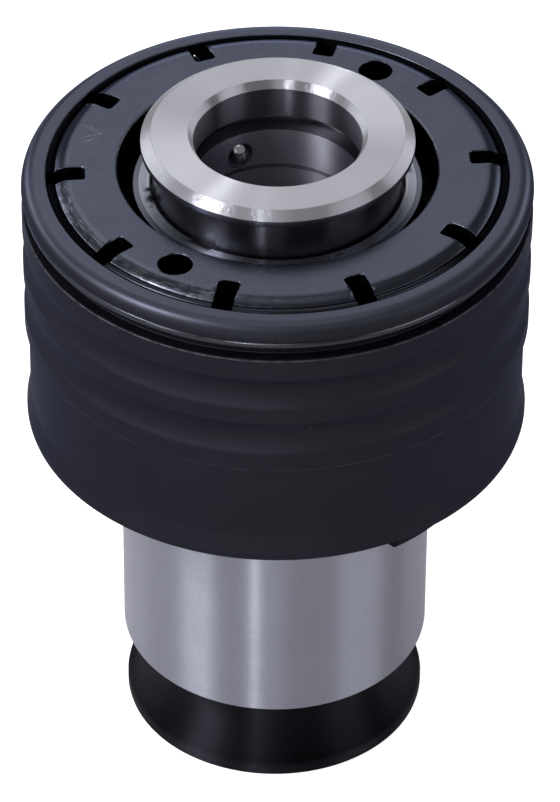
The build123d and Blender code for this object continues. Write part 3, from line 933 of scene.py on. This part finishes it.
def adjusting_nut():
    """The slotted nut that loads the disc springs, with holes for a pin spanner."""
    crest_width, root_width, shoulder_width = 0.55, 0.15, 1.6
    shoulder_drop, crest_drop, root_drop = 0.62, 0.45, 0.95
    # where across the nut the painted glints fade in, in millimetres
    glint_from, glint_to = -17.0, -31.0
    crest_from, crest_to = 13.0, 18.0
    crest_inner = nut_radius - crest_width
    shoulder_outer = crest_inner - root_width
    shoulder_foot = nut_top - shoulder_drop
    crest_top = nut_top - crest_drop
    root_foot = nut_top - root_drop
    outline = [
        *easing_arc((shoulder_outer - shoulder_width, nut_top), (shoulder_outer, shoulder_foot), 8),
        (shoulder_outer, root_foot, 0.03),
        (crest_inner, root_foot, 0.03),
        (crest_inner, crest_top - 0.12),
        *arc_between(
            (crest_inner + 0.04, crest_top - 0.05),
            (nut_radius - crest_width * 0.55, crest_top),
            (nut_radius, crest_top - 0.22),
            8,
        ),
        (nut_radius, nut_foot, 0.2),
        (nut_bore, nut_foot, 0.1),
        (nut_bore, nut_top, 0.18),
    ]
    finish = Finish("black_oxide_nut", nut_oxide, 0.27, 0.35, oxide_edge)
    finish.turned_by(5.0, 0.0010, 0.06, 0.04)
    finish.wear("Smudge", 0.16, 0.08)
    finish.wear("Grain", 0.26, 0.08)
    mottle = finish.noise(520.0, 5.0, 0.72, 1.2)
    shoulder = finish.band_of("Radius", shoulder_outer - shoulder_width * 0.6, past_all, 0.3)
    finish.lay(shoulder, shoulder_oxide, 0.24)
    # painted shade: the thread is painted near black all round, as it lies in the dark gap under the
    # housing's rim, and its crest is painted lighter only at the front, where light reaches it
    thread = finish.band_of("Radius", shoulder_outer - 0.02, past_all, 0.04)
    glint_side = finish.ragged(finish.place["Across"], glint_from, glint_to)
    rings = put_group(finish.tree, turning_marks, finish.vector, 5.0, 1.1)["Relief"]
    # painted glints: light flecks along the turning rings on the shoulder's front side, standing in for a
    # lamp's reflection
    bright = finish.both(
        shoulder,
        glint_side,
        finish.ragged(rings, 0.44, 0.62),
        finish.ragged(mottle, 0.38, 0.60),
    )
    finish.lay(finish.both(bright, 0.6), painted_glint, 0.26)
    finish.lay(thread, painted_shade_black, 0.8)
    seen_crest = finish.both(thread, finish.ragged(finish.place["Front"], crest_from, crest_to))
    finish.lay(seen_crest, crest_oxide, 0.26)
    # painted shade: the thread root, a narrow groove, is painted near black
    root_shade_line = finish.band_of("Radius", shoulder_outer - 0.03, crest_inner + 0.02, 0.03)
    finish.lay(root_shade_line, root_painted_shade, 0.6)
    # painted shade: the bore wall and the walls under the crest are painted near black, as they lie in dark
    # gaps
    shaded_walls = finish.any_of(
        finish.zone((0.0, shoulder_outer - shoulder_width, 0.05), (under_all, nut_top - 0.15, 0.05)),
        finish.band_of("Height", under_all, crest_top - 0.25, 0.08),
    )
    finish.lay(shaded_walls, painted_shade_black, 0.5)
    bore_edge = finish.zone((nut_bore - 0.1, nut_bore + 0.13, 0.04), (nut_top - 0.2, over_all, 0.04))
    bore_edge = finish.both(bore_edge, finish.ragged(mottle, 0.34, 0.60), 0.7)
    finish.lay(bore_edge, edge_steel, 0.28)
    finish.haired(hair_steel, 0.5)
    scuffs = [
        (azimuth, radius, nut_top, turn, length)
        for azimuth, radius, turn, length in (
            (-108, 19.3, -24, 1.9),
            (-107, 18.9, -18, 2.3),
            (-106, 18.4, -27, 1.7),
            (-104, 18.8, 22, 1.8),
            (-105, 18.1, 30, 1.5),
            (-103, 19.2, 16, 1.3),
            (-102, 18.5, 24, 2.0),
            (-101, 18.9, 12, 1.2),
            (-100, 18.2, 20, 1.4),
            (-84, 17.0, 38, 0.9),
        )
    ]
    finish.scratched(scuffs, scuff_steel, 0.6)
    finish.grained(0.0018)
    finish.raise_by(finish.both(shoulder, mottle), 0.016)
    hole_radius, hole_circle, hole_depth, hole_azimuth = 1.6, 18.4, 3.5, math.radians(58.6)
    flare = 0.12
    levels = flared_levels(hole_depth, flare)
    pin_hole = lofted(
        "pin_hole_cutter",
        [circle_points(hole_circle, hole_radius + grow, height, 48) for grow, height in levels],
    )
    piece = turned(
        "adjusting_nut_turned",
        outline,
        finish.done(),
        [(slot_cutter(), slot_count, slot_azimuth), (pin_hole, 2, hole_azimuth)],
    )
    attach(piece, "nut")
    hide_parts("adjusting_nut")


def release_collar():
    """Nose flange, neck and skirt in one piece; its face and chamfers are turned bright."""
    nose_foot = nose_top - 1.45
    lip_foot = nose_top - 3.9
    outer_run, outer_drop = 0.96, 0.75
    inner_run, inner_drop = 0.5, 0.83
    collar_bore, relief = tube_radius + 0.05, 11.12
    cone_foot, cone_top = 61.0, 63.65
    skirt_radius = 13.0
    outline = [
        (collar_bore, skirt_foot, 0.1),
        (skirt_radius, skirt_foot, 0.12),
        (skirt_radius, skirt_top, 0.1),
        (neck_radius, skirt_top, 0.08),
        (neck_radius, nose_foot, 0.12),
        (nose_radius, nose_foot, 0.12),
        (nose_radius, nose_top - outer_drop, 0.1),
        (nose_radius - outer_run, nose_top, 0.12),
        (relieved_radius + inner_run, nose_top, 0.05),
        (relieved_radius, nose_top - inner_drop, 0.05),
        (relieved_radius, lip_foot, 0.02),
        (tube_radius, lip_foot, 0.05),
        (relief, lip_foot - (relief - tube_radius), 0.05),
        (relief, cone_top, 0.05),
        (collar_bore, cone_foot, 0.05),
    ]
    finish = Finish("collar_steel", collar_steel, 0.22, seed=0.5)
    finish.wear("Smudge", 0.3, 0.06)
    # painted light: the collar's inner walls are painted much lighter than its steel, standing in for light
    # that reaches in through the mouth
    finish.lay(finish.band_of("Radius", 0.0, relief + 0.1, 0.05), collar_inside_painted_light, 0.5)
    finish.lay(finish.band_of("Radius", 0.0, relieved_radius + 0.2, 0.05), turned_bore, 0.42)
    bright = finish.both(
        finish.band_of("Height", nose_top - inner_drop + 0.01, over_all, 0.02),
        finish.any_of(
            finish.band_of("Radius", relieved_radius + 0.02, nose_radius - 0.04, 0.02),
            finish.band_of("Height", nose_top - outer_drop, over_all, 0.03),
        ),
    )
    finish.lay(bright, turned_bright, 0.33)
    chamfers = finish.both(
        bright,
        finish.any_of(
            finish.band_of("Radius", nose_radius - outer_run - 0.02, past_all, 0.05),
            finish.band_of("Radius", 0.0, relieved_radius + inner_run, 0.03),
        ),
    )
    finish.lay(chamfers, None, 0.42)
    finish.turned_by(9.0, 0.0010, 0.05, 0.05, 0.02)
    finish.wear("Grain", 0.05, 0.03)
    chatter = finish.noise(1500.0, 2.0, 0.6)
    finish.raise_by(finish.both(chamfers, chatter), 0.030)
    finish.haired(collar_hair, 0.35)
    piece = turned("release_collar_turned", outline, finish.done(1.0))
    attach(piece, "collar")
    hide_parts("release_collar")


def retaining_ring():
    """The flat ring round the neck that holds the collar down on its spring."""
    bore = neck_radius + 0.15
    outline = [
        (bore, skirt_top, 0.06),
        (seat_radius, skirt_top),
        (seat_radius, hub_top),
        (bore, hub_top, 0.28),
    ]
    finish = spindle_finish("black_oxide_ring", ring_steel, bore + 0.36)
    piece = turned("retaining_ring_turned", outline, finish)
    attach(piece, "spindle_unit")
    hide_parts("retaining_ring")


def spindle_finish(name, colour, highlight_edge):
    """Smooth oiled black oxide, nearly a mirror, with a highlight painted on one edge, painted shade on its
    walls, painted dark reflections by the neck and painted light in the bore.
    """
    finish = Finish(name, colour, 0.30, 0.7, oxide_edge)
    finish.turned_by(6.0, 0.0008, 0.08, 0.05)
    finish.wear("Smudge", 0.25, 0.12)
    # painted shade: the walls below the top are painted near black, as they face into dark gaps
    shaded_walls = finish.band_of("Height", under_all, hub_top - 0.08, 0.04)
    finish.lay(shaded_walls, wall_painted_shade, 0.40)
    # painted highlight: a bright ragged line on the top edge at highlight_edge, standing in for light caught
    # by its rounding
    edge = finish.zone((highlight_edge - 0.08, highlight_edge + 0.08, 0.03), (hub_top - 0.2, over_all, 0.03))
    edge = finish.both(edge, finish.ragged(finish.noise(800.0), 0.3, 0.55))
    finish.lay(edge, painted_edge_highlight, 0.25)
    # painted reflection: ragged black patches by the neck, standing in for the nose's dark underside
    # mirrored in the flat
    dark_reflection = finish.both(
        finish.band_of("Radius", neck_radius - 0.2, neck_radius + 0.5, 0.9),
        finish.ragged(finish.noise(170.0, 5.0, 0.66, 0.6), 0.50, 0.56),
    )
    finish.lay(dark_reflection, painted_reflection_black, 0.5)
    # painted light: the bore is painted much lighter than the oxide, standing in for light that reaches down
    # it
    inside = finish.band_of("Radius", 0.0, tube_radius - 1.0, 0.05)
    finish.lay(inside, bore_painted_light, 0.5)
    level = finish.zone((relieved_radius + 0.03, tube_radius + 0.2, 0.03), (tube_top - 0.3, over_all, 0.03))
    step = finish.zone((0.0, relieved_radius + 0.1, 0.03), (land_top - 0.12, land_top + 0.12, 0.05))
    finish.lay(level, level_steel, 0.5)
    finish.lay(step, turned_bore, 0.5)
    return finish.done(0.92)


def seat_cutter(circle):
    """A lock ball's seat: round towards the bore, drilled straight out through the tube's wall."""
    radius, past_wall = ball_radius + 0.05, 2.0
    sections = []
    for i in range(1, 13):
        t = math.pi / 2 * (i / 12 - 1)
        sections.append((circle + radius * math.sin(t), radius * math.cos(t)))
    sections.append((tube_radius + past_wall, radius))
    return lofted("seat_cutter", [upright_circle(x, r, ball_height, 48) for x, r in sections])


def spindle():
    """Tube for the tap, hub for the collar's spring, ball cage flange and tail with the square."""
    square_foot, square_top, across = tail_foot + 2.9, tail_foot + 18.9, 12.1
    drill_radius, tail_radius = 5.0, 12.0
    cage_foot = flange_top + 0.2
    cage_top = cage_foot + 3.3
    spring_floor = skirt_foot - 9.8
    ball_place, ball_azimuth = 8.8, math.radians(117.0)
    ring_seat = seat_radius + 0.02
    outline = [
        (drill_radius, tail_foot, 0.1),
        (tail_radius, tail_foot, 0.3),
        (tail_radius, cage_foot, 0.1),
        (cage_radius, cage_foot, 0.1),
        (cage_radius, cage_top, 0.15),
        (hub_radius, cage_top, 0.1),
        (hub_radius, hub_top, 0.08),
        (ring_seat, hub_top),
        (ring_seat, skirt_top),
        (hub_bore, skirt_top, 0.03),
        (hub_bore, spring_floor, 0.1),
        (tube_radius, spring_floor, 0.1),
        (tube_radius, tube_top, 0.25),
        (relieved_radius, tube_top, 0.02),
        (relieved_radius, land_top),
        (bore_radius, land_top),
        (bore_radius, square_top),
        (relieved_radius, square_top),
        (relieved_radius, square_foot),
        (drill_radius, square_foot, 0.05),
    ]
    finish = spindle_finish("black_oxide_spindle", spindle_steel, bore_radius)
    seat = seat_cutter(ball_place)
    cage_ends = (cage_foot - 1.0, cage_top + 1.0)
    hole = clutch_ball_radius + 0.05
    cage_hole = lofted("cage_hole_cutter", [circle_points(ball_circle, hole, z, 48) for z in cage_ends])
    piece = turned("spindle_turned", outline, finish, [(seat, 3, ball_azimuth), (cage_hole, 6, 0.0)])
    broach_radius = relieved_radius + 0.01
    reach_along = math.sqrt(broach_radius**2 - (across / 2) ** 2)
    spread = math.asin(reach_along / broach_radius)

    def segment(height):
        turns = [spread * (i / 8 - 1) for i in range(17)]
        return [(broach_radius * math.cos(t), broach_radius * math.sin(t), height) for t in turns]

    land = lofted("square_lands", [segment(square_foot), segment(square_top)])
    shaped(land, around_set, count=4, first_angle=0.0, finish=finish)
    for part in (piece, land):
        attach(part, "spindle_unit")
        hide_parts("spindle")


def rolling_pieces():
    """Lock balls, clutch balls and the rollers of the thrust bearing."""
    finish = Finish("ball_steel", ball_steel, 0.08, seed=0.9)
    finish.wear("Smudge", 0.10, 0.05)
    finish.grained(0.0004)
    polished = finish.done()
    for number in range(1, 4):
        node = f"lock_ball_{number}"
        low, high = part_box(node)
        piece = ball(f"{node}_polished", (high.z - low.z) / 2 / MM, (low + high) / 2 / MM)
        piece.data.materials.append(polished)
        smoothed(piece)
        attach(piece, node)
        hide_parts(node)
    low, high, _ = reach("clutch_balls")
    balls = ball("clutch_balls_polished", (high - low) / 2, (ball_circle, 0.0, (low + high) / 2))
    low, high, _ = reach("bearing_rollers")
    middle, radius, half_length, edge = (low + high) / 2, (high - low) / 2, 2.0, 0.15
    profile = (
        (-half_length, radius - edge),
        (-half_length + edge, radius),
        (half_length - edge, radius),
        (half_length, radius - edge),
    )
    sections = [upright_circle(ball_circle + x, r, middle, 32) for x, r in profile]
    rollers = lofted("bearing_rollers_ground", sections)
    for piece, node, count in ((balls, "clutch_balls", 6), (rollers, "bearing_rollers", 12)):
        shaped(piece, around_set, count=count, first_angle=0.0, finish=polished)
        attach(piece, "clutch_pack")
        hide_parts(node)


def rings_and_springs():
    """Races and rings of the clutch, the disc springs, the roller cage and the collar's spring."""
    hard = Finish("hardened_steel", race_steel, 0.28, seed=1.1)
    hard.turned_by(10.0, 0.0008, 0.08, 0.05)
    hard.wear("Smudge", 0.12, 0.08)
    # painted shade: the inner part near the hub is painted near black, as it lies in the dark gap
    hard.lay(hard.band_of("Radius", 0.0, hub_radius + 1.8, 0.1), inner_painted_shade, 0.5)
    hard = hard.done(0.4)
    spring = Finish("spring_steel", disc_steel, 0.34, seed=1.3)
    spring.turned_by(4.0, 0.0015, 0.12, 0.06)
    spring.wear("Smudge", 0.25, 0.1)
    # painted shade: the inner part near the hub is painted near black, as it lies in the dark gap
    spring.lay(spring.band_of("Radius", hub_radius + 0.2, hub_radius + 1.8, 0.1), inner_painted_shade, 0.5)
    spring.grained(0.0015)
    spring = spring.done()
    brass = Finish("cage_brass", cage_brass, 0.3, seed=1.5)
    brass.turned_by(6.0, 0.0012, 0.08, 0.06)
    brass.wear("Smudge", 0.12, 0.08)
    brass = brass.done(0.3)
    ring_bore = hub_radius + 0.3
    bodies = {"pressure_ring": "clutch_pack", "thrust_race": "upper_race", "spring_seat_ring": "spring_seat"}
    for node, body in bodies.items():
        low, high, outer = reach(node)
        edge = 0.15
        outline = [(ring_bore, low, edge), (outer, low, edge), (outer, high, edge), (ring_bore, high, edge)]
        piece = turned(f"{node}_turned", outline, hard)
        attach(piece, body)
        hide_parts(node)
    thickness, edge, clutch_rise = 1.1, 0.12, 1.3
    for number in range(1, 5):
        node = f"disc_spring_{number}"
        low, high, outer = reach(node)
        inner_foot, outer_foot = (high - thickness, low) if number % 2 else (low, high - thickness)
        outline = [
            (ring_bore, inner_foot, edge),
            (outer, outer_foot, edge),
            (outer, outer_foot + thickness, edge),
            (ring_bore, inner_foot + thickness, edge),
        ]
        piece = turned(f"{node}_pressed", outline, spring)
        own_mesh(piece)
        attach(piece, "adapter")
        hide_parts(node)
    for node, finish in (("bearing_cage", brass), ("collar_spring", spring)):
        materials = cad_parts[node].data.materials
        materials.clear()
        materials.append(finish)


# The studio

def studio():
    """Pale floor, white surroundings and soft lamps."""
    half, below = 3.0, -0.02 * MM
    corners = [(x * half, y * half, below) for x, y in ((-1, -1), (1, -1), (1, 1), (-1, 1))]
    mesh = bpy.data.meshes.new("floor")
    mesh.from_pydata(corners, [], [(0, 1, 2, 3)])
    floor = as_object("floor", mesh)
    paper = bpy.data.materials.new("floor_paper")
    paper.use_nodes = True
    tree = paper.node_tree
    shader = tree.nodes["Principled BSDF"]
    shader.inputs["Base Color"].default_value = (0.80, 0.80, 0.80, 1.0)
    shader.inputs["Roughness"].default_value = 0.9
    shader.inputs["Specular IOR Level"].default_value = 0.1
    shader.inputs["Emission Color"].default_value = (1.0, 1.0, 1.0, 1.0)
    path = put(tree, "ShaderNodeLightPath").outputs
    glow, glow_in_metal = 0.85, 0.05
    seen = mix(tree, "FLOAT", path["Is Glossy Ray"], path["Is Camera Ray"], glow_in_metal)
    feed(tree, shader.inputs["Emission Strength"], calc(tree, "MULTIPLY", seen, glow))
    mesh.materials.append(paper)
    world = bpy.data.worlds.new("studio_air")
    bpy.context.scene.world = world
    world.use_nodes = True
    tree = world.node_tree
    background = tree.nodes["Background"]
    background.inputs["Color"].default_value = (1.0, 1.0, 1.0, 1.0)
    path = put(tree, "ShaderNodeLightPath").outputs
    air_light, air_in_metal, air_seen = 0.05, 0.24, 1.0
    around = mix(tree, "FLOAT", path["Is Glossy Ray"], air_light, air_in_metal)
    strength = mix(tree, "FLOAT", path["Is Camera Ray"], around, air_seen)
    feed(tree, background.inputs["Strength"], strength)
    lamps = [
        ("left_window", -60, 45, 0.35, 0.30, 0.5),
        ("left_slot", -65, 42, 0.07, 0.30, 2.0),
        ("left_rear_window", -150, 45, 0.35, 0.30, 0.3),
        ("rear_window", 180, 45, 0.35, 0.30, 0.3),
        ("ceiling", 180, 85, 0.40, 0.40, 0.3),
        ("front_strip", -14, 34, 0.05, 0.50, 0.1),
        ("front_slit", -13, 14, 0.02, 0.16, 0.8),
        ("left_slit", -47, 18, 0.10, 0.26, 0.6),
        ("front_panel", 0, 16, 0.15, 0.26, 0.2),
        ("left_panel", -80, 16, 0.40, 0.26, 0.3),
        ("left_rear_panel", -120, 16, 0.60, 0.26, 1.2),
        ("right_panel", 60, 16, 0.40, 0.26, 0.9),
        ("right_rear_panel", 120, 16, 0.60, 0.26, 1.0),
        ("rear_panel", 180, 16, 0.30, 0.26, 0.4),
    ]
    distance, middle = 0.70, Vector((0, 0, 0.04))
    for name, azimuth, elevation, width, height, power in lamps:
        data = bpy.data.lights.new(name, "AREA")
        data.shape = "RECTANGLE"
        data.size = width
        data.size_y = height
        data.energy = power
        lamp = bpy.data.objects.new(name, data)
        bpy.context.scene.collection.objects.link(lamp)
        a, e = math.radians(azimuth), math.radians(elevation)
        towards = Vector((math.sin(a) * math.cos(e), -math.cos(a) * math.cos(e), math.sin(e)))
        lamp.location = towards * distance + middle
        lamp.rotation_euler = towards.to_track_quat("Z", "Y").to_euler()


def camera():
    """The photograph's camera, worked out from the ellipses of the turned edges in it."""
    distance, elevation, roll = 0.5236, math.radians(39.32), math.radians(-0.423)
    aside, above = 0.000396, -0.025831
    focal_pixels, picture_height = 5446.6, 802.0
    back = Vector((0, -math.cos(elevation), math.sin(elevation)))
    right = Vector((1, 0, 0))
    up = Vector((0, math.sin(elevation), math.cos(elevation)))
    data = bpy.data.cameras.new("camera")
    data.sensor_fit = "AUTO"
    data.sensor_width = 36.0
    data.lens = focal_pixels * data.sensor_width / picture_height
    data.clip_start = 0.01
    obj = bpy.data.objects.new("camera", data)
    bpy.context.scene.collection.objects.link(obj)
    rolled_right = math.cos(roll) * right - math.sin(roll) * up
    rolled_up = math.sin(roll) * right + math.cos(roll) * up
    matrix = Matrix((rolled_right, rolled_up, back)).transposed().to_4x4()
    matrix.translation = Vector((0, 0, nose_top * MM)) + back * distance + right * aside + up * above
    obj.matrix_world = matrix
    bpy.context.scene.camera = obj


shank()
clutch_housing()
lock_wire()
adjusting_nut()
release_collar()
retaining_ring()
spindle()
rolling_pieces()
rings_and_springs()
studio()
camera()
bpy.context.scene.view_settings.view_transform = "Standard"
bpy.context.view_layer.update()
